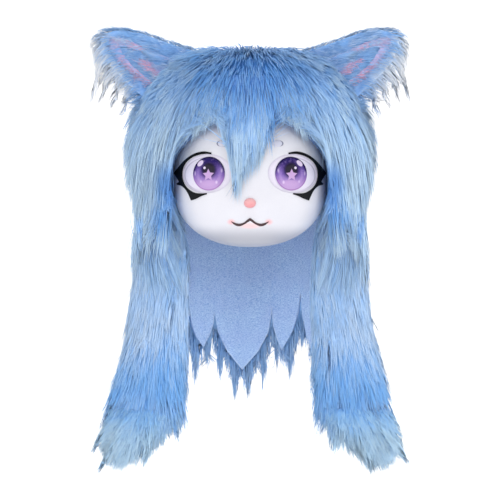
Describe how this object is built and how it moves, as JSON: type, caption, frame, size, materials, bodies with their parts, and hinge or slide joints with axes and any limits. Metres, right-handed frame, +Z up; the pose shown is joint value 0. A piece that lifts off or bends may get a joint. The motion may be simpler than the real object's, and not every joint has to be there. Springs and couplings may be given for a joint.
{
  "type": "cat-faced fursuit head",
  "caption": "Cat-faced costume head: padded hood under long blue fur, hard white face with domed purple eyes, furred ears, long hanging side tails and a nape curtain cut in petals.",
  "frame": {"origin": "on the ceiling of the hood's hollow, where the wearer's crown meets it", "axes": "+Z up, the face looks along -Y, the wearer's left is +X"},
  "size_m": [0.5518, 0.3916, 0.7671],
  "materials": {
    "face_shell": "satin white, sprayed with faint lilac shading",
    "nose": "satin pink",
    "hood_padding": "padded lining cloth",
    "long_fur": "long pile faux fur, deep blue at the root and pale at the tip",
    "fur_backing": "knitted wrong side of faux fur, mottled pale blue",
    "eye_white": "satin, pale lilac",
    "iris": "clear domed resin over a printed purple iris with a pale star",
    "lash": "matt black",
    "brow": "matt grey lilac",
    "ear_fur": "long pile faux fur, pale blue",
    "ear_plush": "short pink plush",
    "tail_fur": "long pile faux fur, pale blue"
  },
  "bodies": {
    "root": {"face_shell": "face_shell", "nose": "nose", "hood": "hood_padding", "head_fur": "long_fur", "fringe": "long_fur", "nape_curtain": "fur_backing", "nape_fur": "long_fur", "eye_white_right": "eye_white", "iris_right": "iris", "lash_right": "lash", "brow_right": "brow", "ear_right": "ear_fur", "inner_ear_right": "ear_plush", "tail_right": "tail_fur", "tail_tip_right": "tail_fur", "eye_white_left": "eye_white", "iris_left": "iris", "lash_left": "lash", "brow_left": "brow", "ear_left": "ear_fur", "inner_ear_left": "ear_plush", "tail_left": "tail_fur", "tail_tip_left": "tail_fur"}
  },
  "joints": []
}
